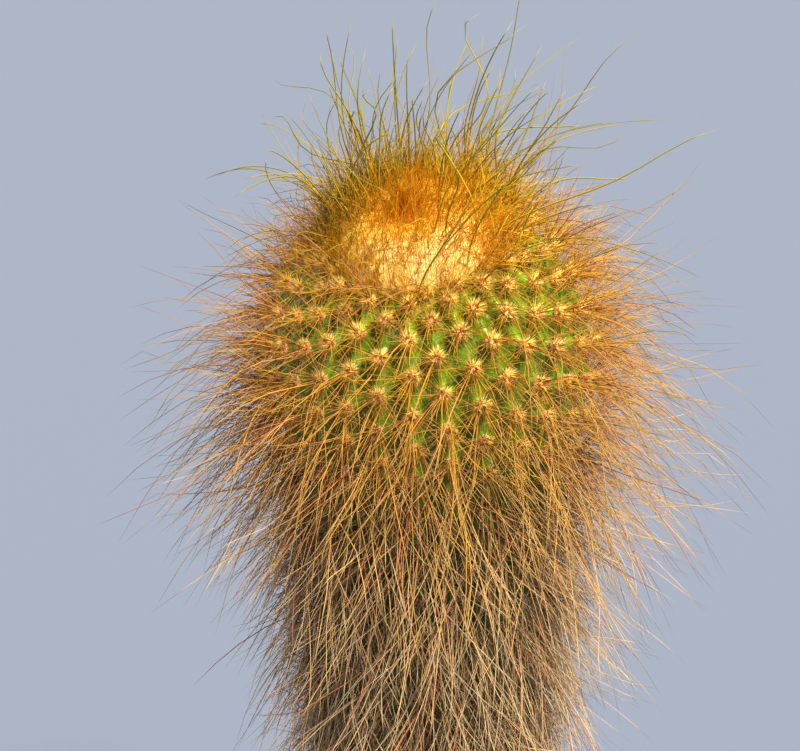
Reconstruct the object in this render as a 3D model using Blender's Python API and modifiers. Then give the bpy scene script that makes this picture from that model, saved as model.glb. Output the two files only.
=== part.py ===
"""A potted golden ball cactus: a ribbed stem with a leaning woolly crown, in gritty soil, in a clay pot.

Metres, +Z up. The origin is the centre of the pot's underside. The front is -Y.
"""

import math

import bmesh
import bpy
import numpy as np
from mathutils import Vector

RNG = np.random.default_rng(4)
GAP = 0.0003  # between pieces that touch
MERGE = 0.00001  # the turned shapes' poles and seams
GOLDEN_ANGLE = math.pi * (3.0 - math.sqrt(5.0))

# Clay pot
POT_HEIGHT = 0.100
POT_WALL = 0.005
POT_FLOOR = 0.007
FOOT_RADIUS = 0.040
SHOULDER_RADIUS = 0.0525  # outside, under the rim band
BAND_HEIGHT = 0.024
BAND_FOOT_RADIUS = 0.0565
LIP_RADIUS = 0.058
POT_EDGE = 0.002
DRAIN_RADIUS = 0.0065
POT_SIDES = 56

# Stem: a ball head on a narrower column
HEAD_RADIUS = 0.040
COLUMN_RADIUS = 0.0315
NECK_RADIUS = 0.0240  # at the soil
SOIL_TOP = 0.088
HEAD_HEIGHT = SOIL_TOP + 0.175  # the ball's centre
HEAD_TAPER = 0.062  # from the ball's centre down to the column
NECK_TAPER = 0.140  # from under the head down to the soil
ROOT_DEPTH = 0.030
ROOT_SHOULDER = 0.0222  # the root's radius half-way down
ROOT_FOOT = 0.014  # and near its end
ROOT_ROUNDING = 0.0024

# The crown leans towards the light; the lean fades out down the stem
LEAN = math.radians(19.3)
LEAN_HEADING = math.radians(-113.3)
LEAN_FADES_AT = 0.125  # along the stem's outline, from the apex

# Ribs and areoles
RIBS = 30
RIB_DEPTH = 0.0027
NOTCH_DEPTH = 0.0013
CROWN_EDGE = 0.0205  # along the outline: the ribs and the first areoles begin
PITCH = 0.0102  # between the areoles of a rib
YOUNG_CROWDING = 0.35  # rows that the youngest areoles are drawn up by
CROWDING_FADE = 0.7  # rows
NOTCHED_ROWS = 7  # further down the notches are worn smooth
WORN_RINGS = 9

# Wool on the crown
WOOL_EDGE = 0.0175  # along the outline
WOOL_RISE = 0.0062
WOOL_ROUNDING = 2.4  # the mound falls off as this power of the way to its edge
WOOL_RINGS = 4
WOOL_SIDES = 30

# Spines
SPINE_RADIUS = 0.0005
SPINE_ROOT = 0.0016  # how deep in the skin a spine begins
LEAN_ASIDE = math.radians(20.0)  # a third of them to the left, a third to the right
WAVER = math.radians(3.0)  # the most that a spine strays from its rule
LENGTH_SPREAD = (0.9, 1.1)
LAST_AREOLE = 0.006  # above the soil
OLD_ROW = 10  # below it one areole in four is bare
YOUNG_SPINES = 130
YOUNG_SPREAD = 0.0152  # along the outline
YOUNG_ROOT = 0.0011  # how high above the skin, in the wool
YOUNG_FLARE = 1.2  # they fan out this much more than spines of the skin would
YOUNG_LENGTHS = (0.027, 0.043)
YOUNG_BOWS = (0.02, 0.20)  # shares of the length that the tips bow outwards

# How the spines fan out down the stem: arc length, and degrees from straight up
FAN_ARC = (0.0, CROWN_EDGE, 0.042, 0.063, 0.084, 0.105, 0.140)
FAN_DEGREES = (0.0, 28.0, 66.0, 100.0, 124.0, 146.0, 156.0)
SPINE_LENGTH_ARC = (CROWN_EDGE, 0.045, 0.075, 0.120, 0.190)
SPINE_LENGTHS = (0.036, 0.039, 0.040, 0.033, 0.027)
NEAR_SOIL = 0.040  # the lowest spines turn level and grow short
LOWEST_FAN = 92.0
LOWEST_LENGTH = 0.010

# Gritty soil
SOIL_SIDES = 44
SOIL_EDGE = 0.0015  # the top stops this far short of the wall
SOIL_EDGE_DROP = 0.003
SWELL = 0.0011
SWELL_WAVE = 88.0  # radians a metre
GRIT_STONES = 44
GRIT_SIZES = (0.0014, 0.0028)
GRIT_INSET = 0.0042  # from the hole's edge and from the soil's
GRIT_STRETCH = ((0.75, 0.75, 0.60), (1.25, 1.25, 1.00))
GRIT_FACETS = (0.86, 1.14)


def smooth_step(x, low, high):
    """0 below low, 1 above high, and a cubic ease between them."""
    t = np.clip((x - low) / (high - low), 0.0, 1.0)
    return t * t * (3.0 - 2.0 * t)


def stem_radius(height):
    """Below the ball's centre: its radius, eased down to the column's and again to the neck's."""
    column = smooth_step(height, HEAD_HEIGHT - HEAD_TAPER, HEAD_HEIGHT)
    column = COLUMN_RADIUS + (HEAD_RADIUS - COLUMN_RADIUS) * column
    return NECK_RADIUS + (column - NECK_RADIUS) * smooth_step(height, SOIL_TOP, SOIL_TOP + NECK_TAPER)


def stem_outline(samples=1200):
    """Arc length from the apex, radius and height: a quarter circle, then the column down to the soil."""
    tilt = np.linspace(0.0, math.pi / 2, samples)
    column = np.linspace(HEAD_HEIGHT, SOIL_TOP, samples)[1:]
    height = np.concatenate([HEAD_HEIGHT + HEAD_RADIUS * np.cos(tilt), column])
    radius = np.concatenate([HEAD_RADIUS * np.sin(tilt), stem_radius(column)])
    steps = np.hypot(np.diff(radius), np.diff(height))
    return np.concatenate([[0.0], np.cumsum(steps)]), radius, height


ARC, RADIUS, HEIGHT = stem_outline()
STEM_ARC = ARC[-1]


def outline_at(arc):
    """Radius, height and the outward normal's two parts (out, up) at this arc length."""
    radius, height = np.interp(arc, ARC, RADIUS), np.interp(arc, ARC, HEIGHT)
    down_out = np.interp(arc, ARC, np.gradient(RADIUS, ARC))
    down_up = np.interp(arc, ARC, np.gradient(HEIGHT, ARC))
    return radius, height, -down_up, down_out


def row_arc(row):
    """Arc length of an areole row: evenly spaced, and drawn together towards the crown."""
    crowding = YOUNG_CROWDING * (1.0 - np.exp(-np.asarray(row) / CROWDING_FADE))
    return CROWN_EDGE + PITCH * (row - crowding)


def row_at(arc):
    """The row number at an arc length, as a real number: row_arc turned round."""
    rows = np.linspace(-1.5, 26.0, 600)
    return np.interp(arc, row_arc(rows), rows)


def leaned(points, arc):
    """Points turned about the ball's centre, in full at the apex and not at all where the lean fades out."""
    angle = LEAN * np.clip(1.0 - arc / LEAN_FADES_AT, 0.0, 1.0)[..., None]
    heading = np.array([math.cos(LEAN_HEADING), math.sin(LEAN_HEADING), 0.0])
    axis = np.cross([0.0, 0.0, 1.0], heading)
    centre = np.array([0.0, 0.0, HEAD_HEIGHT])
    arm = points - centre
    along = (arm @ axis)[..., None] * axis
    return centre + arm * np.cos(angle) + np.cross(axis, arm) * np.sin(angle) + along * (1.0 - np.cos(angle))


def relief(turn, arc):
    """How far ribs and notches sink the skin: a groove between ribs, a notch between a rib's areoles.

    The areoles of every second rib lie half a row lower than their neighbours.
    """
    groove = 0.5 - 0.5 * np.cos(RIBS * turn)
    rib = np.rint(RIBS * turn / (2.0 * math.pi)).astype(int)
    row = row_at(arc) - 0.5 * ((rib + 1) % 2)
    worn = 1.0 - smooth_step(row, NOTCHED_ROWS - 2.0, NOTCHED_ROWS)
    notch = (1.0 - groove) * (0.5 - 0.5 * np.cos(2.0 * math.pi * row)) * worn
    shown = smooth_step(arc, WOOL_EDGE, CROWN_EDGE + 0.010) * smooth_step(STEM_ARC - arc, 0.004, 0.020)
    return shown * (RIB_DEPTH * groove + NOTCH_DEPTH * notch)


def skin_point(turn, arc, lift=0.0):
    """The skin's point at an angle round the stem and an arc length, lifted along the normal."""
    turn, arc = np.asarray(turn, float), np.asarray(arc, float)
    radius, height, out, up = outline_at(arc)
    offset = lift - relief(turn, arc)
    reach = radius + out * offset
    upright = np.stack([reach * np.cos(turn), reach * np.sin(turn), height + up * offset], axis=-1)
    return leaned(upright, arc)


def spine_way(turn, arc, fan):
    """Unit direction at the angle fan from straight up, out from the stem, leaned as the skin is there."""
    flat = [math.sin(fan) * math.cos(turn), math.sin(fan) * math.sin(turn), math.cos(fan)]
    centre = np.array([0.0, 0.0, HEAD_HEIGHT])
    return leaned(centre + flat, np.asarray(arc)) - centre


def fan_angle(arc):
    """Radians from straight up for a spine here. Near the soil it eases to the lowest spines' angle."""
    clear = smooth_step(STEM_ARC - arc, 0.0, NEAR_SOIL)
    fan = np.interp(arc, FAN_ARC, FAN_DEGREES)
    return math.radians(LOWEST_FAN + (fan - LOWEST_FAN) * clear)


def spine_length(arc):
    clear = smooth_step(STEM_ARC - arc, 0.0, NEAR_SOIL)
    return LOWEST_LENGTH + (np.interp(arc, SPINE_LENGTH_ARC, SPINE_LENGTHS) - LOWEST_LENGTH) * clear


def new_material(name, colour, roughness):
    made = bpy.data.materials.new(name)
    made.use_nodes = True
    made.diffuse_color = (*colour, 1.0)
    shader = made.node_tree.nodes["Principled BSDF"]
    shader.inputs["Base Color"].default_value = (*colour, 1.0)
    shader.inputs["Roughness"].default_value = roughness
    shader.inputs["Metallic"].default_value = 0.0
    return made


def new_object(name, mesh, collection):
    made = bpy.data.objects.new(name, mesh)
    collection.objects.link(made)
    return made


def new_collection(name):
    made = bpy.data.collections.new(name)
    bpy.context.scene.collection.children.link(made)
    return made


def apply_modifiers(obj):
    graph = bpy.context.evaluated_depsgraph_get()
    mesh = bpy.data.meshes.new_from_object(obj.evaluated_get(graph), depsgraph=graph)
    obj.modifiers.clear()
    obj.data = mesh


def turned(name, profile, sides, material, collection, closed=False):
    """A profile of (radius, height) points, down its outer side, turned about Z."""
    mesh = bpy.data.meshes.new(name)
    edges = [(i, i + 1) for i in range(len(profile) - 1)]
    if closed:
        edges.append((len(profile) - 1, 0))
    mesh.from_pydata([(radius, 0.0, height) for radius, height in profile], edges, [])
    mesh.materials.append(material)
    made = new_object(name, mesh, collection)
    screw = made.modifiers.new("Turn", "SCREW")
    screw.steps = screw.render_steps = sides
    screw.use_merge_vertices = True
    screw.merge_threshold = MERGE
    screw.use_smooth_shade = True
    apply_modifiers(made)
    return made


def vertices_of(mesh):
    found = np.empty(len(mesh.vertices) * 3, np.float32)
    mesh.vertices.foreach_get("co", found)
    return found.reshape(-1, 3).astype(float)


def move_vertices(mesh, points):
    mesh.vertices.foreach_set("co", points.astype(np.float32).ravel())
    mesh.update()


def needle_mesh(material, joints):
    """A three-sided needle along Z, of unit length and unit root radius, with joints to bend it at."""
    shape = bmesh.new()
    bmesh.ops.create_cone(shape, cap_ends=True, segments=3, radius1=1.0, radius2=0.0, depth=1.0)
    bmesh.ops.translate(shape, verts=shape.verts, vec=(0.0, 0.0, 0.5))
    if joints:
        sides = [edge for edge in shape.edges if abs(edge.verts[0].co.z - edge.verts[1].co.z) > 0.5]
        bmesh.ops.subdivide_edges(shape, edges=sides, cuts=joints)
    mesh = bpy.data.meshes.new("needle")
    shape.to_mesh(mesh)
    shape.free()
    mesh.materials.append(material)
    return mesh


def add_needle(needle, root, way, length, bow, collection):
    """A needle from root along way. The vector bow carries it off, as the square of the way out."""
    mesh = needle.copy()
    shape = vertices_of(mesh)
    turn = np.array(Vector(way).to_track_quat("Z", "Y").to_matrix())
    out = shape[:, 2:3]
    points = root + SPINE_RADIUS * shape[:, :2] @ turn[:, :2].T + length * out * way + out**2 * bow
    move_vertices(mesh, points)
    new_object("needle", mesh, collection)


def fuse(obj, repeats):
    """Joins all of the collection repeats to obj, in one Boolean union, and removes them."""
    union = obj.modifiers.new("Fuse", "BOOLEAN")
    union.operation = "UNION"
    union.solver = "EXACT"
    union.material_mode = "TRANSFER"
    union.operand_type = "COLLECTION"
    union.collection = repeats
    apply_modifiers(obj)
    for piece in list(repeats.objects):
        mesh = piece.data
        bpy.data.objects.remove(piece)
        bpy.data.meshes.remove(mesh)
    bpy.data.collections.remove(repeats)


def pot_bore(height):
    """The pot's inner radius: one straight slope from the floor, a wall's width inside the shoulder."""
    band_foot = POT_HEIGHT - BAND_HEIGHT
    slope = (SHOULDER_RADIUS - FOOT_RADIUS) / (band_foot - POT_FLOOR)
    return FOOT_RADIUS - POT_WALL + slope * (height - POT_FLOOR)


def make_pot(collection):
    """Wall, rim band and floor as one turned section round the drain hole."""
    band_foot = POT_HEIGHT - BAND_HEIGHT
    profile = [
        (pot_bore(POT_HEIGHT) + POT_EDGE, POT_HEIGHT),
        (LIP_RADIUS - POT_EDGE, POT_HEIGHT),
        (LIP_RADIUS, POT_HEIGHT - POT_EDGE),
        (BAND_FOOT_RADIUS, band_foot + POT_EDGE),
        (BAND_FOOT_RADIUS - POT_EDGE, band_foot),
        (SHOULDER_RADIUS, band_foot),
        (FOOT_RADIUS, POT_EDGE),
        (FOOT_RADIUS - POT_EDGE, 0.0),
        (DRAIN_RADIUS, 0.0),
        (DRAIN_RADIUS, POT_FLOOR),
        (pot_bore(POT_FLOOR), POT_FLOOR),
        (pot_bore(POT_HEIGHT - POT_EDGE), POT_HEIGHT - POT_EDGE),
    ]
    clay = new_material("clay", (0.55, 0.24, 0.13), 0.85)
    pot = turned("pot", profile, POT_SIDES, clay, collection, closed=True)
    pot.data.set_sharp_from_angle(angle=math.radians(35.0))


def soil_swell(x, y):
    """How far the soil's slow humps lift its top: waves crossed with others, and a finer wave."""
    humps = np.sin(SWELL_WAVE * x + 1.0) * np.cos(SWELL_WAVE * y)
    return SWELL * (humps + 0.5 * np.sin(2.4 * SWELL_WAVE * y + 2.0))


def make_soil(collection):
    """Soil that fills the pot, with a plain hole for the stem and grit half sunk in its top."""
    floor = POT_FLOOR + GAP
    hole = NECK_RADIUS + GAP
    edge = pot_bore(SOIL_TOP) - SOIL_EDGE
    shoulder = SOIL_TOP - SOIL_EDGE_DROP
    profile = [
        (0.0, SOIL_TOP - ROOT_DEPTH - GAP),
        (hole, SOIL_TOP - ROOT_DEPTH - GAP),
        (hole, SOIL_TOP),
        *[(radius, SOIL_TOP) for radius in np.linspace(hole, edge, 6)[1:]],
        (pot_bore(shoulder) - 2.0 * GAP, shoulder),
        (pot_bore(floor) - 2.0 * GAP, floor),
        (0.0, floor),
    ]
    earth = new_material("gritty_soil", (0.10, 0.07, 0.05), 0.95)
    soil = turned("soil", profile, SOIL_SIDES, earth, collection)
    points = vertices_of(soil.data)
    free_top = (points[:, 2] > SOIL_TOP - GAP) & (np.hypot(points[:, 0], points[:, 1]) > hole + GAP)
    points[free_top, 2] += soil_swell(points[free_top, 0], points[free_top, 1])
    move_vertices(soil.data, points)
    fuse(soil, grit(hole + GRIT_INSET, edge - GRIT_INSET))


def grit(inner, outer):
    """Angular stones between two radii, spread by the golden angle so that none crowd together."""
    stones = new_collection("grit")
    pale = new_material("grit", (0.42, 0.36, 0.29), 0.9)
    for i in range(GRIT_STONES):
        size = RNG.uniform(*GRIT_SIZES)
        radius = math.sqrt(inner**2 + (i + 0.5) / GRIT_STONES * (outer**2 - inner**2))
        x, y = radius * math.cos(i * GOLDEN_ANGLE), radius * math.sin(i * GOLDEN_ANGLE)
        shape = bmesh.new()
        bmesh.ops.create_icosphere(shape, subdivisions=1, radius=size)
        mesh = bpy.data.meshes.new("stone")
        shape.to_mesh(mesh)
        shape.free()
        mesh.materials.append(pale)
        stretch = RNG.uniform(*GRIT_STRETCH)
        facets = RNG.uniform(*GRIT_FACETS, (len(mesh.vertices), 1))
        move_vertices(mesh, vertices_of(mesh) * stretch * facets + (x, y, SOIL_TOP + soil_swell(x, y)))
        new_object("stone", mesh, stones)
    return stones


def stem_rings():
    """Arc lengths of the stem's rings: the wool's own, two a row where notches show, then wide steps."""
    under_wool = np.linspace(0.0, WOOL_EDGE, WOOL_RINGS + 1)[1:]
    notched = row_arc(np.arange(0.0, NOTCHED_ROWS + 0.25, 0.5))
    worn = np.linspace(notched[-1], STEM_ARC, WORN_RINGS + 1)[1:]
    return np.concatenate([under_wool, notched, worn])


def make_stem(collection):
    """The turned body, two columns of points to a rib, with ribs and notches sunk in by formula."""
    rings = stem_rings()
    radius, height, _, _ = outline_at(rings)
    profile = [
        (0.0, HEAD_HEIGHT + HEAD_RADIUS),
        *zip(radius, height),
        (ROOT_SHOULDER, SOIL_TOP - ROOT_DEPTH / 2),
        (ROOT_FOOT, SOIL_TOP - ROOT_DEPTH + ROOT_ROUNDING),
        (0.0, SOIL_TOP - ROOT_DEPTH + GAP),
    ]
    green = new_material("green_skin", (0.16, 0.27, 0.03), 0.45)
    stem = turned("stem", profile, 2 * RIBS, green, collection)
    points = vertices_of(stem.data)
    above = points[:, 2] > SOIL_TOP - GAP
    arc = np.interp(-points[above, 2], -HEIGHT, ARC)
    points[above] = skin_point(np.arctan2(points[above, 1], points[above, 0]), arc)
    move_vertices(stem.data, points)
    fuse(stem, stem_spines())


def stem_spines():
    """A stiff spine from each areole, fanning out, then down. In turn they lean left, straight and right."""
    spines = new_collection("spines")
    needle = needle_mesh(new_material("tan_spines", (0.55, 0.30, 0.12), 0.55), joints=0)
    for rib in range(RIBS):
        turn = 2.0 * math.pi * rib / RIBS
        for row in range(int(row_at(STEM_ARC)) + 1):
            arc = float(row_arc(row + 0.5 * ((rib + 1) % 2)))
            bare = row > OLD_ROW and (rib + row) % 4 == 0
            if bare or arc > STEM_ARC - LAST_AREOLE:
                continue
            aside = LEAN_ASIDE * ((rib + row) % 3 - 1) + RNG.uniform(-WAVER, WAVER)
            fan = fan_angle(arc) + RNG.uniform(-WAVER, WAVER)
            length = spine_length(arc) * RNG.uniform(*LENGTH_SPREAD)
            root = skin_point(turn, arc, lift=-SPINE_ROOT)
            add_needle(needle, root, spine_way(turn + aside, arc, fan), length, 0.0, spines)
    return spines


def make_crown(collection):
    """A lens of wool that follows the skin over the apex, with the young golden spines fused in it."""
    arcs = np.linspace(0.0, WOOL_EDGE, WOOL_RINGS + 1)[1:]
    radius, height, out, up = outline_at(arcs)
    lift = 2.0 * GAP + WOOL_RISE * (1.0 - (arcs / WOOL_EDGE) ** WOOL_ROUNDING)
    apex = HEAD_HEIGHT + HEAD_RADIUS
    profile = [
        (0.0, apex + 2.0 * GAP + WOOL_RISE),
        *zip(radius + out * lift, height + up * lift),
        *reversed(list(zip(radius + out * GAP, height + up * GAP))),
        (0.0, apex + GAP),
    ]
    wool = new_material("golden_wool", (0.86, 0.60, 0.22), 0.9)
    crown = turned("crown", profile, WOOL_SIDES, wool, collection)
    points = vertices_of(crown.data)
    tilt = np.arctan2(np.hypot(points[:, 0], points[:, 1]), points[:, 2] - HEAD_HEIGHT)
    move_vertices(crown.data, leaned(points, tilt * HEAD_RADIUS))
    fuse(crown, young_spines())


def young_spines():
    """Spines spread over the wool by the golden angle, upright in the middle, fanning out to its edge."""
    spines = new_collection("young_spines")
    needle = needle_mesh(new_material("golden_spines", (0.80, 0.42, 0.05), 0.5), joints=1)
    for i in range(YOUNG_SPINES):
        arc = math.sqrt((i + 0.5) / YOUNG_SPINES) * YOUNG_SPREAD
        turn = i * GOLDEN_ANGLE
        fan = fan_angle(arc) * YOUNG_FLARE + RNG.uniform(-WAVER, WAVER)
        aside = RNG.uniform(-2.0 * WAVER, 2.0 * WAVER)
        length = RNG.uniform(*YOUNG_LENGTHS)
        bow = length * RNG.uniform(*YOUNG_BOWS) * spine_way(turn, arc, math.pi / 2)
        root = skin_point(turn, arc, lift=YOUNG_ROOT)
        add_needle(needle, root, spine_way(turn + aside, arc, fan), length, bow, spines)
    return spines


def main():
    for old in list(bpy.data.objects):
        bpy.data.objects.remove(old)
    parts = new_collection("potted_golden_ball_cactus")
    make_pot(parts)
    make_soil(parts)
    make_stem(parts)
    make_crown(parts)


main()
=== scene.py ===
"""Looks of the potted golden ball cactus: green skin, areoles, spines, wool, soil and clay pot.

Metres, +Z up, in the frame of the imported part. The photo's side is -Y and its right is +X.
A turn is an angle round the stem from +X. An arc length runs down the skin from the top of the head.
"""

import math

import bpy
import numpy as np
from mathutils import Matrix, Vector


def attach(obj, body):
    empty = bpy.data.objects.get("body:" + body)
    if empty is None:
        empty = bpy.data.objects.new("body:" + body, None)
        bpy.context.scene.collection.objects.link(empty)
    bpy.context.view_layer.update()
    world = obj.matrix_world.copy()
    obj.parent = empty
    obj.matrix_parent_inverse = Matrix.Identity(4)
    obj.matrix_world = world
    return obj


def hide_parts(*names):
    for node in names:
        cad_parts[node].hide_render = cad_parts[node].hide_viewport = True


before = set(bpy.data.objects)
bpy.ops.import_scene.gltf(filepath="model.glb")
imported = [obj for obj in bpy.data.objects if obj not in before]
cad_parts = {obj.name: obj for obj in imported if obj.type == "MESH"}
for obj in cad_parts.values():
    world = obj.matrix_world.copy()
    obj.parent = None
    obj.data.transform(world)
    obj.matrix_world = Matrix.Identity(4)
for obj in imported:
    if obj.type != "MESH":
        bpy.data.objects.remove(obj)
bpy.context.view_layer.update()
RNG = np.random.default_rng(20)
GOLDEN_ANGLE = math.pi * (3.0 - math.sqrt(5.0))
FULL_TURN = 2.0 * math.pi
UP = np.array([0.0, 0.0, 1.0])
BLACK = (0.0, 0.0, 0.0, 1.0)
WHITE = (1.0, 1.0, 1.0, 1.0)

# Stem: a ball head on a narrower column, with the sizes of the solid stem
HEAD_RADIUS = 0.040
COLUMN_RADIUS = 0.0315
NECK_RADIUS = 0.0240
SOIL_TOP = 0.088
HEAD_HEIGHT = SOIL_TOP + 0.175
HEAD_CENTRE = np.array([0.0, 0.0, HEAD_HEIGHT])
HEAD_TAPER = 0.062
NECK_TAPER = 0.140
BURIED = 0.006  # the skin goes on this far into the soil
FINE_END = 0.100  # the skin's rows of points are close together down to this arc length

# The crown's lean: how far, towards which turn, and the arc length where it has faded out
LEAN = math.radians(19.3)
LEAN_HEADING = math.radians(-113.3)
LEAN_FADES_AT = 0.125

# What grows unevenly round the stem, and the painted light and shade round it, by the turn of the side where
# it is strongest
SUNNY_SIDE = math.radians(-52.0)  # spines straw and gold here; the extra rust towards the far side of the head is painted shade, and the creamier wool here is painted light
SUNNY_GROWTH = 0.16  # long spines are longer there by this share
PAINTED_LIGHT_SIDE = math.radians(-38.0)  # the crown's hairs painted bright gold on this lit side and brown towards the back as shade
FULLER_SIDE = math.radians(20.0)  # more spines at each areole near the crown
TO_LIGHT = np.array([1.0, -0.2, 0.0])  # the crown's hairs bow this way
LIGHT_BOW = 0.16  # by this share of their length

# Ribs and areoles
RIBS = 30
MOST_ROWS = 26
RIB_DEPTH = 0.0030
NOTCH_DEPTH = 0.0013
CROWN_EDGE = 0.0205
PITCH = 0.0102
YOUNG_CROWDING = 0.35
CROWDING_FADE = 0.7
RIBS_FULL_AT = CROWN_EDGE + 0.010  # arc length where the ribs reach their full depth
LAST_AREOLE = 0.004
HEAD_END = 0.078  # arc length where the column's spines take over
POMPONS_END = 0.083
FELT_SIZE = 0.0019
FELT_SHRINK = 0.0013

# Wool: a low mound on the crown
WOOL_EDGE = 0.0175
WOOL_RISE = 0.0062
WOOL_RIM = WOOL_EDGE + 0.0028  # the fleece spreads a little beyond the edge of the solid

# Pot and soil, with the sizes of the solids
POT_HEIGHT = 0.100
POT_WALL = 0.005
POT_FLOOR = 0.007
FOOT_RADIUS = 0.040
SHOULDER_RADIUS = 0.0525
BAND_HEIGHT = 0.024
BAND_FOOT_RADIUS = 0.0565
LIP_RADIUS = 0.058
DRAIN_RADIUS = 0.0065
GAP = 0.0003
SOIL_EDGE = 0.0015
SWELL = 0.0011
SWELL_WAVE = 88.0
CLOD_HEIGHT = 0.0004
GRAINS = 2600

# How the long spines fan out down the stem: arc length, and degrees from straight up
FAN_ARC = (0.0, CROWN_EDGE, 0.042, 0.063, 0.084, 0.105, 0.135, 0.160)
FAN_DEGREES = (0.0, 28.0, 66.0, 98.0, 118.0, 133.0, 144.0, 156.0)
NEAR_SOIL = 0.040
LOWEST_FAN = 92.0
LEAST_RISE = 0.30  # long spines that would lie flatter on the skin are lifted to about this
SPINE_CLEARANCE = 0.003  # spines stay this far above the soil
WIDEST_REACH = 0.086  # no strand passes this distance from the stem's axis

# Camera: the photo's view, a little above the head and close to it
ELEVATION = math.radians(27.0)
DISTANCE = 0.65
FIELD = 0.195  # the picture's width at the head
AIM_LEFT = 0.0073
AIM_DOWN = 0.0062


def srgb(red, green, blue):
    """A colour given in 0 to 255 as screens show it, made linear by the screen's curve."""
    parts = np.array([red, green, blue]) / 255.0
    return tuple(np.where(parts <= 0.04045, parts / 12.92, ((parts + 0.055) / 1.055) ** 2.4)) + (1.0,)


def shades(*stops):
    """Stops for a colour ramp, each given as its place and then its colour in 0 to 255."""
    return [(place, srgb(*colour)) for place, *colour in stops]


def smooth_step(x, low, high):
    """0 below low, 1 above high, and a cubic ease between them."""
    t = np.clip((x - low) / (high - low), 0.0, 1.0)
    return t * t * (3.0 - 2.0 * t)


def unit(vectors):
    """Vectors divided by their own length."""
    return vectors / np.linalg.norm(vectors, axis=-1, keepdims=True)


def spaced_turns(count):
    """Angles spaced evenly round a full turn."""
    return np.arange(count) * FULL_TURN / count


def on_circle(radius, height, turn):
    """Points at a distance from the stem's axis, a height and a turn."""
    return np.stack(np.broadcast_arrays(radius * np.cos(turn), radius * np.sin(turn), height), axis=-1)


def stem_radius(height):
    """Below the ball's centre: its radius, eased down to the column's and again to the neck's."""
    column = smooth_step(height, HEAD_HEIGHT - HEAD_TAPER, HEAD_HEIGHT)
    column = COLUMN_RADIUS + (HEAD_RADIUS - COLUMN_RADIUS) * column
    return NECK_RADIUS + (column - NECK_RADIUS) * smooth_step(height, SOIL_TOP, SOIL_TOP + NECK_TAPER)


def stem_outline(samples=1200):
    """Arc length, radius and height: a quarter circle, then the column into the soil."""
    tilt = np.linspace(0.0, math.pi / 2, samples)
    column = np.linspace(HEAD_HEIGHT, SOIL_TOP - BURIED, samples)[1:]
    height = np.concatenate([HEAD_HEIGHT + HEAD_RADIUS * np.cos(tilt), column])
    radius = np.concatenate([HEAD_RADIUS * np.sin(tilt), stem_radius(column)])
    steps = np.hypot(np.diff(radius), np.diff(height))
    return np.concatenate([[0.0], np.cumsum(steps)]), radius, height


ARC, RADIUS, HEIGHT = stem_outline()
SKIN_END = ARC[-1]
STEM_ARC = SKIN_END - BURIED


def outline_at(arc):
    """Radius, height and the outward normal's two parts (out, up) at this arc length."""
    radius, height = np.interp(arc, ARC, RADIUS), np.interp(arc, ARC, HEIGHT)
    down_out = np.interp(arc, ARC, np.gradient(RADIUS, ARC))
    down_up = np.interp(arc, ARC, np.gradient(HEIGHT, ARC))
    return radius, height, -down_up, down_out


def row_arc(row):
    """Arc length of an areole row: evenly spaced, and drawn together towards the crown."""
    crowding = YOUNG_CROWDING * (1.0 - np.exp(-np.asarray(row) / CROWDING_FADE))
    return CROWN_EDGE + PITCH * (row - crowding)


def row_at(arc):
    """The row number at an arc length, as a real number: row_arc turned round."""
    rows = np.linspace(-1.5, MOST_ROWS, 1200)
    return np.interp(arc, row_arc(rows), rows)


def turned_by_lean(vectors, arc):
    """Vectors turned by the lean, in full at the apex and not at all where it fades out."""
    angle = LEAN * np.clip(1.0 - arc / LEAN_FADES_AT, 0.0, 1.0)[..., None]
    heading = np.array([math.cos(LEAN_HEADING), math.sin(LEAN_HEADING), 0.0])
    axis = np.cross(UP, heading)
    along = (vectors @ axis)[..., None] * axis
    return vectors * np.cos(angle) + np.cross(axis, vectors) * np.sin(angle) + along * (1.0 - np.cos(angle))


def leaned(points, arc):
    """Points of the upright stem, turned about the head's centre by the lean."""
    return HEAD_CENTRE + turned_by_lean(points - HEAD_CENTRE, arc)


def relief(turn, arc):
    """How far the skin sinks: a groove between ribs, and between a rib's areoles a notch with a chin."""
    phase = RIBS * turn
    groove = (0.5 - 0.5 * np.cos(phase)) ** 1.1
    rib = np.rint(phase / FULL_TURN).astype(int)
    row = row_at(arc) - 0.5 * ((rib + 1) % 2)
    swell = 0.5 - 0.5 * np.cos(FULL_TURN * (row + 0.10 * np.sin(FULL_TURN * row)))
    notch = (1.0 - groove) * swell
    shown = smooth_step(arc, WOOL_EDGE, RIBS_FULL_AT) * smooth_step(STEM_ARC - arc, 0.004, 0.020)
    return shown * (RIB_DEPTH * groove + NOTCH_DEPTH * notch)


def skin_point(turn, arc, lift=0.0):
    """The skin's point at a turn and an arc length, lifted along the normal."""
    radius, height, out, up = outline_at(arc)
    offset = lift - relief(turn, arc)
    return leaned(on_circle(radius + out * offset, height + up * offset, turn), arc)


def skin_frame(turn, arc):
    """Unit vectors on the skin: outward, down the stem, and round it."""
    _, _, out, up = outline_at(arc)
    away = on_circle(1.0, 0.0, turn)
    outward = out[..., None] * away + up[..., None] * UP
    downhill = up[..., None] * away - out[..., None] * UP
    sideways = np.stack([-np.sin(turn), np.cos(turn), np.zeros_like(turn)], axis=-1)
    return [turned_by_lean(vector, arc) for vector in (outward, downhill, sideways)]


def fan_way(turn, arc, fan):
    """Unit direction at the angle fan from straight up, away from the stem, leaned as the skin is."""
    return turned_by_lean(on_circle(np.sin(fan), np.cos(fan), turn), arc)


def fan_angle(arc):
    """Radians from straight up for a long spine. Near the soil it eases to the lowest spines' angle."""
    clear = smooth_step(STEM_ARC - arc, 0.0, NEAR_SOIL)
    fan = np.interp(arc, FAN_ARC, FAN_DEGREES)
    return np.radians(LOWEST_FAN + (fan - LOWEST_FAN) * clear)


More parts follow.
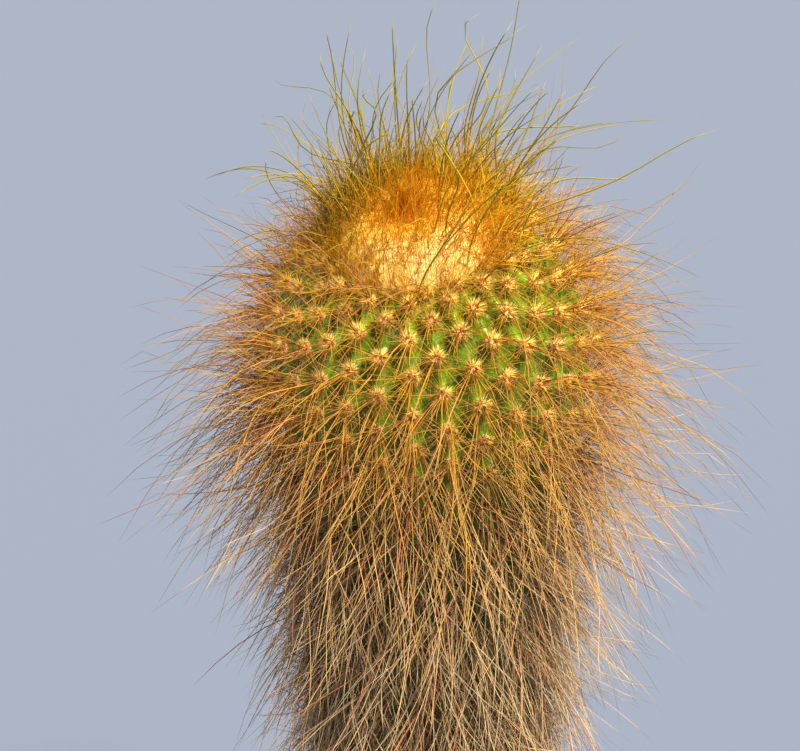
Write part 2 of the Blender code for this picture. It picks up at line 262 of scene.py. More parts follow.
def areole_places():
    """Turn and arc of every areole: round all ribs and down each, every second rib half a row lower."""
    rib, row = np.meshgrid(np.arange(RIBS), np.arange(MOST_ROWS), indexing="ij")
    turn = FULL_TURN * rib / RIBS
    arc = row_arc(row + 0.5 * ((rib + 1) % 2))
    kept = arc < STEM_ARC - LAST_AREOLE
    turn = turn[kept] + RNG.normal(0.0, 0.006, kept.sum())
    return turn, arc[kept] + RNG.normal(0.0, 0.0002, kept.sum())


def new_mesh(name, points, quads, triangles, uv=None):
    """A mesh from whole arrays of points and corners, with a map of one UV to each point if given."""
    mesh = bpy.data.meshes.new(name)
    mesh.vertices.add(len(points))
    mesh.vertices.foreach_set("co", points.astype(np.float32).ravel())
    corners = np.concatenate([quads.ravel(), triangles.ravel()]).astype(np.int32)
    mesh.loops.add(len(corners))
    mesh.loops.foreach_set("vertex_index", corners)
    sizes = np.concatenate([np.full(len(quads), 4), np.full(len(triangles), 3)])
    mesh.polygons.add(len(sizes))
    mesh.polygons.foreach_set("loop_start", (np.cumsum(sizes) - sizes).astype(np.int32))
    if uv is not None:
        layer = mesh.uv_layers.new(name="OFBake")
        layer.data.foreach_set("uv", uv[corners].astype(np.float32).ravel())
    mesh.update(calc_edges=True)
    mesh.shade_smooth()
    return mesh


def give_values(mesh, name, values):
    """A number on each point of the mesh, by name, for its material to read."""
    mesh.attributes.new(name, "FLOAT", "POINT").data.foreach_set("value", values.astype(np.float32))


def new_piece(name, mesh, material):
    """An object for the mesh, riding the part's one body."""
    piece = bpy.data.objects.new(name, mesh)
    bpy.context.scene.collection.objects.link(piece)
    mesh.materials.append(material)
    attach(piece, "root")
    return piece


def round_grid(rows, columns):
    """Corners of a surface that closes round: quads between rows of points, outward for rows going down."""
    row, column = np.meshgrid(np.arange(rows - 1), np.arange(columns), indexing="ij")
    here = row * columns + column
    beside = row * columns + (column + 1) % columns
    return np.stack([here, here + columns, beside + columns, beside], axis=-1).reshape(-1, 4)


def fan_to(point, ring, outward_up):
    """Triangles from one point to a ring of corners, facing up or down."""
    after = np.roll(ring, -1)
    pair = (ring, after) if outward_up else (after, ring)
    return np.stack([np.full(len(ring), point), *pair], axis=-1)


def turned_mesh(name, points):
    """A closed mesh from a grid of points, rows from the top pole's ring down to the bottom pole's ring."""
    rows, columns = points.shape[:2]
    poles = np.stack([points[0].mean(axis=0), points[-1].mean(axis=0)])
    first, last = np.arange(columns), np.arange(columns) + (rows - 1) * columns
    caps = np.concatenate([fan_to(rows * columns, first, True), fan_to(rows * columns + 1, last, False)])
    return new_mesh(name, np.concatenate([points.reshape(-1, 3), poles]), round_grid(rows, columns), caps)


def bent_paths(root, way, length, bow, ripple, points):
    """Centre lines (strand, point, xyz): straight along way, bowed as the square of the way out, rippled.

    bow is the tip's displacement. ripple is a sideways vector that grows outward as a slow sine.
    """
    out = np.linspace(0.0, 1.0, points)[None, :, None]
    phase = RNG.uniform(0.0, FULL_TURN, (len(root), 1, 1))
    waves = RNG.uniform(0.5, 1.3, (len(root), 1, 1))
    straight = root[:, None] + way[:, None] * length[:, None, None] * out
    sway = np.sin(FULL_TURN * waves * out + phase) - np.sin(phase)
    return straight + bow[:, None] * out**2 + ripple[:, None] * sway * out


def kept_in_reach(paths):
    """Strands that would pass the widest reach from the stem's axis are shrunk about their roots to it."""
    root = paths[:, :1]
    reach = np.hypot(paths[..., 0], paths[..., 1]).max(axis=1)
    start = np.hypot(root[:, 0, 0], root[:, 0, 1])
    share = np.clip((WIDEST_REACH - start) / np.maximum(reach - start, 1e-6), 0.0, 1.0)
    return root + (paths - root) * share[:, None, None]


def across_strands(along):
    """Two unit vectors across each strand, at right angles. The first starts in a random way."""
    side = np.cross(along[:, 0], RNG.normal(size=(len(along), 3)))
    side = side[:, None] - (side[:, None] * along).sum(axis=-1, keepdims=True) * along
    side = unit(side)
    return side, np.cross(along, side)


def copied(faces, count, each):
    """The faces of one small shape, repeated for count shapes that have each points apiece."""
    return (faces[None] + np.arange(count)[:, None, None] * each).reshape(-1, faces.shape[1])


def strand_faces(count, points):
    """Quads between each strand's rings of three, and triangles that close it at its tip and root."""
    each = 3 * (points - 1) + 1
    ring_start = np.arange(points - 2)[:, None] * 3
    corner = np.arange(3)
    here, beside = ring_start + corner, ring_start + (corner + 1) % 3
    quads = np.stack([here, beside, beside + 3, here + 3], axis=-1).reshape(-1, 4)
    last_ring = (points - 2) * 3
    tip = np.stack([last_ring + corner, last_ring + (corner + 1) % 3, np.full(3, each - 1)], axis=-1)
    ends = np.concatenate([tip, [[0, 2, 1]]])
    return copied(quads, count, each), copied(ends, count, each)


def strand_map(tint, out):
    """A UV for each point: u is the strand's own tint and v is the way along it.

    The points of a ring are set slightly apart, so that every face keeps some area on the map.
    """
    ring_spread = np.append(np.tile([-0.002, 0.0, 0.002], len(out) - 1), 0.0)
    u = np.tile(ring_spread, (len(tint), 1)) + tint[:, None]
    v = np.append(np.repeat(out[:-1], 3), 1.0)
    v[1] += 0.01
    uv = np.stack([np.clip(u, 0.001, 0.999), np.tile(0.01 + 0.98 * v, (len(tint), 1))], axis=-1)
    return uv.reshape(-1, 2)


def strand_mesh(name, paths, root_radius, tint, blunt):
    """Tapering three-sided strands round centre lines, all in one mesh, each closed at root and tip.

    The radius falls as the power blunt of the way left to the tip.
    """
    paths = kept_in_reach(paths)
    count, points = paths.shape[:2]
    side, across = across_strands(unit(np.gradient(paths, axis=1)))
    out = np.linspace(0.0, 1.0, points)
    radius = root_radius[:, None] * (1.0 - out) ** blunt
    angle = spaced_turns(3)
    ring = np.cos(angle)[:, None] * side[:, :-1, None] + np.sin(angle)[:, None] * across[:, :-1, None]
    body = paths[:, :-1, None] + radius[:, :-1, None, None] * ring
    vertices = np.concatenate([body.reshape(count, -1, 3), paths[:, -1:]], axis=1)
    quads, triangles = strand_faces(count, points)
    return new_mesh(name, vertices.reshape(-1, 3), quads, triangles, strand_map(tint, out))


def new_material(name, roughness):
    """A material with its node tree and its shader."""
    made = bpy.data.materials.new(name)
    made.use_nodes = True
    tree = made.node_tree
    shader = tree.nodes["Principled BSDF"]
    shader.inputs["Roughness"].default_value = roughness
    return made, tree, shader


def fill(tree, node, inputs):
    """Sets a node's inputs, by name or number, or links those whose value is a socket."""
    for name, value in inputs.items():
        if isinstance(value, bpy.types.NodeSocket):
            tree.links.new(value, node.inputs[name])
        else:
            node.inputs[name].default_value = value


def add_node(tree, kind, inputs, **settings):
    """A new node with its settings made and its inputs filled."""
    node = tree.nodes.new("ShaderNode" + kind)
    for name, value in settings.items():
        setattr(node, name, value)
    fill(tree, node, inputs)
    return node


def ramp(tree, factor, stops):
    """A colour ramp through (place, colour) stops."""
    node = add_node(tree, "ValToRGB", {"Fac": factor})
    band = node.color_ramp
    while len(band.elements) < len(stops):
        band.elements.new(0.5)
    for element, (place, colour) in zip(band.elements, stops):
        element.position = place
        element.color = colour
    return node.outputs["Color"]


def mixed(tree, factor, first, second, blend="MIX"):
    """A mix of two colours, each a socket or a colour, by a socket or a number."""
    inputs = {0: factor, 6: first, 7: second}
    return add_node(tree, "Mix", inputs, data_type="RGBA", blend_type=blend).outputs[2]


def dimmed(tree, share, mask):
    """A mask at this share of its strength."""
    return mixed(tree, share, BLACK, mask)


def eased(tree, value, low, high):
    """0 at low and beyond, 1 at high and beyond, and in proportion between."""
    return add_node(tree, "MapRange", {"Value": value, "From Min": low, "From Max": high}).outputs["Result"]


def noise(tree, place, scale, detail=3.0):
    """Soft random patches, about scale of them to a metre, broken up by finer ones as detail grows."""
    return add_node(tree, "TexNoise", {"Vector": place, "Scale": scale, "Detail": detail}).outputs["Fac"]


def object_place(tree):
    """The point's own coordinates in metres."""
    return add_node(tree, "TexCoord", {}).outputs["Object"]


def mesh_value(tree, name):
    """The number that the mesh carries by this name."""
    return add_node(tree, "Attribute", {}, attribute_name=name).outputs["Fac"]


def bump(tree, height, strength, distance):
    """Normals for small relief: a height in 0 to 1, as deep as distance."""
    inputs = {"Height": height, "Strength": strength, "Distance": distance}
    return add_node(tree, "Bump", inputs).outputs["Normal"]


def let_light_through(tree, shader, colour, share):
    """Part of the light goes through: a mix of the shader with a translucent one of the same colour."""
    through = add_node(tree, "BsdfTranslucent", {"Color": colour})
    inputs = {"Fac": share, 1: shader.outputs["BSDF"], 2: through.outputs["BSDF"]}
    both = add_node(tree, "MixShader", inputs)
    fill(tree, tree.nodes["Material Output"], {"Surface": both.outputs["Shader"]})


def make_weathering():
    """A node group: patches are a broad noise plus a third of a fine one, eased between Low and High."""
    group = bpy.data.node_groups.new("weathering", "ShaderNodeTree")
    group.interface.new_socket("Place", in_out="INPUT", socket_type="NodeSocketVector")
    for name in ("Scale", "Low", "High"):
        group.interface.new_socket(name, in_out="INPUT", socket_type="NodeSocketFloat")
    for name in ("Mask", "Grain"):
        group.interface.new_socket(name, in_out="OUTPUT", socket_type="NodeSocketFloat")
    enter = group.nodes.new("NodeGroupInput").outputs
    broad = noise(group, enter["Place"], enter["Scale"], 2.0)
    finer = add_node(group, "Math", {0: enter["Scale"], 1: 14.0}, operation="MULTIPLY").outputs[0]
    fine = noise(group, enter["Place"], finer, 2.0)
    total = add_node(group, "Math", {0: fine, 1: 0.33, 2: broad}, operation="MULTIPLY_ADD").outputs[0]
    inputs = {"Value": total, "From Min": enter["Low"], "From Max": enter["High"]}
    ease = add_node(group, "MapRange", inputs, interpolation_type="SMOOTHSTEP")
    fill(group, group.nodes.new("NodeGroupOutput"), {"Mask": ease.outputs["Result"], "Grain": fine})
    return group


def worn(tree, place, scale, low, high):
    """The shared weathering group, placed in a material: a mask of soft patches, and a fine grain."""
    group = bpy.data.node_groups.get("weathering") or make_weathering()
    inputs = {"Place": place, "Scale": scale, "Low": low, "High": high}
    node = add_node(tree, "Group", inputs, node_tree=group)
    return node.outputs["Mask"], node.outputs["Grain"]


def strand_material(name, roots, tips, roughness, change=(0.15, 0.95), end=None, end_from=0.84, through=0.0):
    """Colour by the strand's tint, from one band of colours at the root to another towards the tip.

    change is where along the strand the one band gives way to the other. end is the colour of the
    tip, reached from end_from on. through is the share of light that goes through the strand.
    """
    made, tree, shader = new_material(name, roughness)
    place = add_node(tree, "UVMap", {}, uv_map="OFBake").outputs["UV"]
    tint, along, _ = add_node(tree, "SeparateXYZ", {0: place}).outputs
    colour = mixed(tree, eased(tree, along, *change), ramp(tree, tint, roots), ramp(tree, tint, tips))
    if end:
        colour = mixed(tree, eased(tree, along, end_from, 1.0), colour, end)
    golden_sheen = (1.0, 0.76, 0.42, 1.0)
    fill(tree, shader, {"Base Color": colour, "Specular IOR Level": 0.25, "Specular Tint": golden_sheen})
    if through:
        let_light_through(tree, shader, colour, through)
    return made


def skin_material():
    """Waxy green skin with pale flecks: yellow-green on the rib crests, and deep green in the grooves and
    notches as painted shade.
    """
    made, tree, shader = new_material("green_skin", 0.40)
    place = object_place(tree)
    # the ramp's dark end, where crest is low in grooves, notches and down the stem, is painted shade
    green = shades((0.0, 40, 54, 6), (0.35, 74, 106, 6), (0.7, 106, 146, 8), (1.0, 140, 174, 22))
    green = ramp(tree, mesh_value(tree, "crest"), green)
    blotches = ramp(tree, noise(tree, place, 260.0), shades((0.35, 150, 150, 60), (0.65, 200, 215, 150)))
    colour = mixed(tree, 0.4, green, blotches, "MULTIPLY")
    flecks = ramp(tree, noise(tree, place, 2200.0, 1.0), [(0.66, BLACK), (0.72, WHITE)])
    colour = mixed(tree, dimmed(tree, 0.35, flecks), colour, srgb(206, 220, 130))
    fill(tree, shader, {
        "Base Color": colour,
        "Specular Tint": (1.0, 1.0, 0.60, 1.0),
        "Coat Weight": 0.04,
        "Coat Roughness": 0.18,
        "Normal": bump(tree, noise(tree, place, 900.0, 4.0), 0.6, 0.0005),
    })
    return made


def make_skin():
    """The green body: ribs and chins sunk in by formula, eight columns of points to a rib."""
    rows = np.concatenate([np.linspace(0.002, FINE_END, 116), np.linspace(FINE_END, SKIN_END, 52)[1:]])
    arc, turn = np.meshgrid(rows, spaced_turns(RIBS * 8), indexing="ij")
    mesh = turned_mesh("stem_skin", skin_point(turn, arc))
    # crest falls in the grooves and notches, where the skin is painted darker as shade
    crest = 1.0 - relief(turn, arc) / (RIB_DEPTH + NOTCH_DEPTH)
    # and it falls down the stem: painted shade under the thatch of spines
    old = smooth_step(arc, 0.055, 0.12)
    at_poles = [1.0, 0.2]
    give_values(mesh, "crest", np.append(crest * (1.0 - 0.75 * old), at_poles))
    skin = new_piece("stem_skin", mesh, skin_material())
    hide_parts("stem")


def felt_mesh(turn, arc, size):
    """A low dome at each areole: two rings of six points under a tip, closed by a point below.

    Tip and base stand about 0.4 of the dome's size above and below the skin.
    """
    outward, downhill, sideways = skin_frame(turn, arc)
    centre = skin_point(turn, arc)
    tilt = np.array([0.0, 0.8])[:, None]
    around = spaced_turns(6)[None]
    flat_down, flat_side = np.cos(tilt) * np.cos(around), np.cos(tilt) * np.sin(around)
    rise = np.broadcast_to(np.sin(tilt) * 0.6 - 0.2, flat_down.shape)
    parts = ((flat_down, downhill), (flat_side, sideways), (rise, outward))
    rings = sum(part.reshape(1, -1, 1) * vector[:, None] for part, vector in parts)
    rings = centre[:, None] + size[:, None, None] * rings
    top = (centre + outward * (size * 0.42)[:, None])[:, None]
    base = (centre - outward * (size * 0.4)[:, None])[:, None]
    vertices = np.concatenate([rings, top, base], axis=1)
    corner = np.arange(6)
    after = (corner + 1) % 6
    quads = np.stack([corner, after, after + 6, corner + 6], -1)
    tops = np.stack([corner + 6, after + 6, np.full(6, 12)], -1)
    bases = np.stack([after, corner, np.full(6, 13)], -1)
    ends = np.concatenate([tops, bases])
    quads, triangles = (copied(faces, *vertices.shape[:2]) for faces in (quads, ends))
    return new_mesh("areole_felt", vertices.reshape(-1, 3), quads, triangles)


def felt_material():
    """Felt, mottled by a fine noise: coral on young areoles and brown on old ones."""
    made, tree, shader = new_material("areole_felt", 0.9)
    mottle = noise(tree, object_place(tree), 1500.0, 2.0)
    young = ramp(tree, mottle, shades((0.35, 228, 130, 92), (0.5, 244, 168, 118), (0.65, 250, 184, 134)))
    old = ramp(tree, mottle, shades((0.35, 84, 62, 44), (0.65, 136, 108, 82)))
    fill(tree, shader, {"Base Color": mixed(tree, mesh_value(tree, "age"), young, old)})
    return made


def make_felt(turn, arc):
    """The felt of every areole, which shrinks as it ages down the head."""
    age = smooth_step(arc, 0.055, 0.095)
    mesh = felt_mesh(turn, arc, FELT_SIZE - FELT_SHRINK * age)
    give_values(mesh, "age", np.repeat(age, len(mesh.vertices) // len(age)))
    new_piece("areole_felt", mesh, felt_material())


def repeated(turn, arc, counts):
    """Turn and arc of each areole, given again for each of its spines, with the areole's own number."""
    areole = np.repeat(np.arange(len(turn)), counts)
    return turn[areole], arc[areole], areole


def spine_tint(turn, arc, spread=0.09, rusty=0.14):
    """Tint by age: 0 for the youngest spines up to 0.8 for the oldest, with some in the brown to rust band.

    rusty is the share in that band. On the head it grows by up to 0.34 towards the side out of the sun, as
    painted shade.
    """
    age = 0.8 * smooth_step(arc, CROWN_EDGE - 0.01, 0.132) ** 0.8
    tint = np.clip(age + RNG.normal(0.0, spread, len(arc)), 0.01, 0.82)
    # extra brown and rust strands on the head's side away from the key light: painted shade
    shaded = (0.5 - 0.5 * np.cos(turn - SUNNY_SIDE)) * smooth_step(0.10 - arc, 0.0, 0.02)
    rust = RNG.random(len(arc)) < rusty + 0.34 * shaded
    return np.where(rust, RNG.uniform(0.88, 0.99, len(arc)), tint)


# A spine's colours by its tint: gold to straw with age up to 0.82, then brown to rust
SPINE_ROOTS = shades(
    (0.00, 202, 138, 20),
    (0.15, 190, 130, 32),
    (0.30, 184, 128, 44),
    (0.50, 166, 120, 64),
    (0.70, 146, 112, 76),
    (0.82, 134, 106, 78),
    (0.88, 112, 66, 42),
    (1.00, 196, 108, 60),
)
SPINE_TIPS = shades(
    (0.00, 190, 152, 36),
    (0.15, 184, 144, 48),
    (0.30, 198, 152, 62),
    (0.50, 208, 166, 102),
    (0.70, 208, 176, 128),
    (0.82, 206, 180, 140),
    (0.88, 124, 86, 60),
    (1.00, 200, 134, 94),
)


def lifted_off_soil(paths):
    """Centre lines kept just above the soil."""
    paths[..., 2] = np.maximum(paths[..., 2], SOIL_TOP + SPINE_CLEARANCE)
    return paths


def add_long_spines(name, places, material, counts, longest, shares, powers, radius, spreads, droop):
    """Long spines from each areole, fanned about the stem's own direction there, each with its own bend.

    A length is a share of the longest one there, by a beta law with these powers, and grows towards
    the sunny side. spreads are the scatter of the turn, of the fan's angle and of the sideways tilt,
    in radians. Each tip sags by a share of its length, up to droop, and swings sideways.
    """
    turn, arc, areole = repeated(*places, counts)
    count = len(turn)
    aside, tilt, cross = (RNG.normal(0.0, 1.0, count) * spread for spread in spreads)
    way = fan_way(turn + aside, arc, fan_angle(arc) + tilt)
    outward, _, sideways = skin_frame(turn, arc)
    way = unit(way + sideways * cross[:, None])
    rise = (way * outward).sum(axis=-1)
    way = unit(way + outward * np.maximum(LEAST_RISE - rise, 0.0)[:, None])
    length = longest[areole] * (shares[0] + (shares[1] - shares[0]) * RNG.beta(*powers, count))
    length = length * (1.0 + SUNNY_GROWTH * np.maximum(np.cos(turn - SUNNY_SIDE), 0.0))
    bow = sideways * RNG.normal(0.0, 0.24, (count, 1)) - UP * RNG.uniform(-0.2, 1.0, (count, 1)) * droop
    ripple = unit(np.cross(way, RNG.normal(size=(count, 3)))) * RNG.uniform(0.0, 0.08, (count, 1))
    root = skin_point(turn, arc, -0.0005) + sideways * RNG.normal(0.0, 0.0005, (count, 1))
    paths = bent_paths(root, way, length, bow * length[:, None], ripple * length[:, None], 6)
    thickness = radius * RNG.uniform(0.7, 1.2, count)
    mesh = strand_mesh(name, lifted_off_soil(paths), thickness, spine_tint(turn, arc), 0.30)
    new_piece(name, mesh, material)


def add_fine_spines(name, places, material, each, longest, radius, points, rise,
                    blunt=0.5, hang=0.0, rusty=0.05):
    """Fine spines spread evenly round each areole, rising from the skin by an angle, slightly bowed.

    each is their number on every areole, or on each one in turn, and so is longest, their usual
    length. hang turns them towards the stem's foot by that share. rusty is the share of brown and
    rust-red ones.
    """
    each, longest = (np.broadcast_to(values, len(places[0])) for values in (each, longest))
    turn, arc, areole = repeated(*places, each)
    count = len(turn)
    step = np.arange(count) - np.repeat(np.cumsum(each) - each, each)
    heading = FULL_TURN * step / each[areole] + RNG.normal(0.0, 0.15, count) + areole * GOLDEN_ANGLE
    lift = RNG.uniform(*rise, count)
    outward, downhill, sideways = skin_frame(turn, arc)
    flat = np.cos(heading)[:, None] * downhill + np.sin(heading)[:, None] * sideways
    flat = unit(flat + hang * downhill)
    way = np.cos(lift)[:, None] * flat + np.sin(lift)[:, None] * outward
    length = longest[areole] * RNG.uniform(0.6, 1.15, count)
    bow = outward * (RNG.normal(0.04, 0.12, count) * length)[:, None]
    root = skin_point(turn, arc, 0.0001) + flat * 0.0006
    ripple = unit(np.cross(way, outward)) * (RNG.normal(0.0, 0.06, count) * length)[:, None]
    paths = bent_paths(root, way, length, bow, ripple, points)
    tint = spine_tint(turn, arc, 0.06, rusty)
    mesh = strand_mesh(name, lifted_off_soil(paths), radius * RNG.uniform(0.8, 1.2, count), tint, blunt)
    new_piece(name, mesh, material)


def number_each(turn, arc, down_head, numbers, extra):
    """Spines on each areole: numbers at these arc lengths, and up to extra more on the fuller side."""
    fuller = (0.5 + 0.5 * np.cos(turn - FULLER_SIDE)) * (1.0 - smooth_step(arc, 0.045, 0.060))
    return np.rint(np.interp(arc, down_head, numbers) + extra * fuller).astype(int)


def upper_length(arc):
    """Longest spine on the head, metres: shorter round the crown, where the spines are young."""
    return np.interp(arc, (CROWN_EDGE, 0.035, 0.055, 0.100), (0.030, 0.038, 0.044, 0.042))


def lower_length(arc):
    """Longest spine on the column: long under the head, short below that skirt, shortened near the soil."""
    down_column = (0.075, 0.090, 0.112, 0.135, 0.155, 0.190)
    longest = np.interp(arc, down_column, (0.046, 0.042, 0.032, 0.038, 0.031, 0.029))
    return 0.010 + (longest - 0.010) * smooth_step(STEM_ARC - arc, 0.0, NEAR_SOIL)


def mid_length(arc):
    """Middling spines, metres: short by the crown, where the green shows, and full length down the head."""
    return np.interp(arc, (CROWN_EDGE, 0.040, 0.060), (0.010, 0.016, 0.019))


def make_long_spines(upper, lower):
    """The long spines: olive-tipped ones that thicken down the head, and a straw skirt on the column."""
    colours = (SPINE_ROOTS, SPINE_TIPS)
    olive = strand_material("head_spines", *colours, 0.36, end=srgb(122, 102, 60), end_from=0.40)
    # the column's spines pale towards their tips: a painted highlight
    straw = strand_material("column_spines", *colours, 0.36, end=srgb(208, 184, 146))
    add_long_spines(
        "long_spines_upper", upper, olive,
        counts=number_each(*upper, (0.020, 0.040, 0.055, HEAD_END), (3, 3, 8, 14), 5.0),
        longest=upper_length(upper[1]), shares=(0.30, 1.10), powers=(1.2, 2.1),
        radius=0.00014, spreads=(0.30, 0.24, 0.26), droop=0.88,
    )
    add_long_spines(
        "long_spines_lower", lower, straw,
        counts=12,
        longest=lower_length(lower[1]), shares=(0.30, 1.12), powers=(1.4, 1.8),
        radius=0.00015, spreads=(0.50, 0.26, 0.50), droop=0.50,
    )


def make_short_spines(upper, lower):
    """The head's middling and fine spines, and the column's fine ones that hang a little, darker as painted
    shade.
    """
    fine = strand_material("fine_spines", SPINE_ROOTS, SPINE_TIPS, 0.38)
    # a darker copy of the spine colours for the column's fine spines: painted shade deep in the thatch
    shade_darkened_spines = strand_material(
        "fine_spines_in_painted_shade",
        shades((0.0, 150, 104, 44), (0.5, 112, 84, 48), (0.82, 82, 66, 46), (1.0, 112, 62, 40)),
        shades((0.0, 164, 128, 66), (0.5, 150, 120, 80), (0.82, 140, 116, 86), (1.0, 146, 98, 66)),
        0.4,
    )
    add_fine_spines(
        "mid_spines_upper", upper, fine,
        each=number_each(*upper, (0.020, 0.038, 0.052), (7, 10, 19), 8.0),
        longest=mid_length(upper[1]), radius=0.00010, points=5, rise=(0.50, 1.2),
        blunt=0.35, hang=0.4, rusty=0.22,
    )
    add_fine_spines(
        "fine_spines_upper", upper, fine,
        each=24, longest=0.0088, radius=0.000075, points=4, rise=(0.12, 0.65),
    )
    add_fine_spines(
        "fine_spines_lower", lower, shade_darkened_spines,
        each=16, longest=0.0150, radius=0.00012, points=4, rise=(0.1, 1.0), blunt=0.45, hang=0.35,
    )


def make_pompons(turn, arc):
    """A dense pompon of coral and gold bristles on each areole, from the crown down to the skirt."""
    coral = strand_material(
        "star_bristles",
        shades((0.0, 255, 198, 124), (0.4, 255, 190, 118), (1.0, 255, 160, 108)),
        shades((0.0, 255, 234, 128), (0.4, 255, 226, 126), (1.0, 255, 208, 116)),
        0.5, change=(0.05, 0.55), through=0.5,
    )
    starred = arc < POMPONS_END
    add_fine_spines(
        "star_bristles", (turn[starred], arc[starred]), coral,
        each=220, longest=0.0027, radius=0.00018, points=2, rise=(0.05, 1.45),
    )


def make_areoles():
    """Every areole's felt and its spines: long ones, short ones, and on the head a pompon of bristles."""
    turn, arc = areole_places()
    on_head = arc < HEAD_END
    upper = turn[on_head], arc[on_head]
    lower = turn[~on_head], arc[~on_head]
    make_felt(turn, arc)
    make_long_spines(upper, lower)
    make_short_spines(upper, lower)
    make_pompons(turn, arc)


def wool_surface(turn, share, arc, lift):
    """A point of the wool's mound: on the outline at this arc length, lifted and lumpy, then leaned."""
    radius, height, out, up = outline_at(arc)
    lumps = 1.0 + 0.10 * np.sin(9.0 * turn + 3.0) * share + 0.05 * np.sin(17.0 * turn) * share
    return leaned(on_circle(radius + out * lift * lumps, height + up * lift * lumps, turn), arc)


def wool_rise(share):
    """How far the wool lifts off the skin: a low dome, a little flatter in its middle."""
    return 0.0006 + WOOL_RISE * (1.0 - share**2.4) * (1.0 - 0.45 * np.exp(-((share / 0.35) ** 2)))


def cream_ring_and_painted_light(share, turn):
    """0 for golden wool, 1 for cream: cream in a ring round the tuft, creamier on the sunny side as painted
    light and golden towards the back as painted shade.
    """
    # creamier towards the key light and golden at the back: painted light and shade
    sunny = 0.5 + 0.5 * np.cos(turn - (SUNNY_SIDE + LEAN_HEADING) / 2.0)
    return smooth_step(share, 0.15, 0.60) * (0.20 + 0.80 * sunny**2)


def wool_material():
    """Dense fleece, golden to cream by the mound's cream value, which carries painted light on the sunny
    side, and darker in random small patches as painted shade of dips in the fleece.
    """
    made, tree, shader = new_material("wool", 0.95)
    place = object_place(tree)
    fleece = shades((0.0, 255, 196, 46), (0.5, 255, 210, 78), (1.0, 255, 234, 152))
    fleece = ramp(tree, mesh_value(tree, "cream"), fleece)
    # darker random patches: painted shade of dips in the fleece
    painted_hollow_shade = ramp(tree, noise(tree, place, 900.0, 4.0), shades((0.35, 190, 130, 50), (0.6, 255, 255, 255)))
    colour = mixed(tree, 0.25, fleece, painted_hollow_shade, "MULTIPLY")
    relief_normal = bump(tree, noise(tree, place, 1400.0, 4.0), 0.3, 0.0003)
    fill(tree, shader, {"Base Color": colour, "Normal": relief_normal})
    let_light_through(tree, shader, colour, 0.25)
    return made


def make_wool():
    """The mound of wool: a lens that follows the skin, with its top puffed up and its rim closed below."""
    over, under = np.linspace(0.04, 1.0, 26), np.linspace(1.0, 0.3, 6)
    share = np.concatenate([over, under])[:, None]
    lift = np.concatenate([wool_rise(over), np.full(len(under), 0.00015)])[:, None]
    turn = spaced_turns(120)
    mesh = turned_mesh("wool_mound", wool_surface(turn, share, share * WOOL_RIM, lift))
    at_poles = [0.0, 0.5]
    # the cream value: the ring round the tuft, with painted light on the sunny side and painted shade at the
    # back
    give_values(mesh, "cream", np.append(cream_ring_and_painted_light(share, turn), at_poles))
    mound = new_piece("wool_mound", mesh, wool_material())
    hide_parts("crown")


def crown_places(count, widest, front, nearest=0.0):
    """Shares of the way to the wool's rim and turns, even over the wool but thinned towards the front.

    front is the density at the front edge against that at the back.
    """
    share = np.sqrt(RNG.uniform(nearest**2, widest**2, count))
    turn = RNG.uniform(0.0, FULL_TURN, count)
    forward = smooth_step(share * np.cos(turn - LEAN_HEADING), -0.3, 0.6)
    kept = RNG.random(count) < 1.0 + (front - 1.0) * forward
    return share[kept], turn[kept]


def any_length(low, high):
    """A law that gives each hair a length between these, every length as likely."""
    return lambda share, turn: RNG.uniform(low, high, len(share))


def mostly_short(low, high, *powers):
    """A law that gives each hair a length between these by a beta law, so that long ones are rare."""
    return lambda share, turn: low + (high - low) * RNG.beta(*powers, len(share))


def golden_length(share, turn):
    """A golden hair's length: longer at the front, where these hairs arch up over the wool."""
    front = smooth_step(share * np.cos(turn - LEAN_HEADING), -0.2, 0.8)
    return RNG.uniform(0.0045, 0.0112, len(share)) * (1.0 + 0.8 * front)


def tint_by_painted_light(share, turn):
    """Tint 0 at the back, painted brown as shade, up to 1 on the lit side, painted bright as light."""
    # brighter towards the key light's side, darker at the back: painted light and shade
    facing = 0.48 + 0.55 * share * np.cos(turn - PAINTED_LIGHT_SIDE)
    return np.clip(facing + RNG.normal(0.0, 0.12, len(share)), 0.01, 0.99)


def tint_by_shade(share, turn):
    """The reverse: tint 1 at the back, painted as shade, down to 0 on the lit side."""
    return 1.0 - tint_by_painted_light(share, turn)


def tint_by_ring_and_light(share, turn):
    """Tint of the short wool: golden round the tuft, golden at the back as painted shade and cream on the
    sunny side as painted light.
    """
    return np.clip(cream_ring_and_painted_light(share, turn) + RNG.normal(0.0, 0.12, len(share)), 0.01, 0.99)


def any_tint(share, turn):
    """A tint at random, more often low than high."""
    return np.clip(RNG.beta(1.6, 2.6, len(share)), 0.01, 0.99)


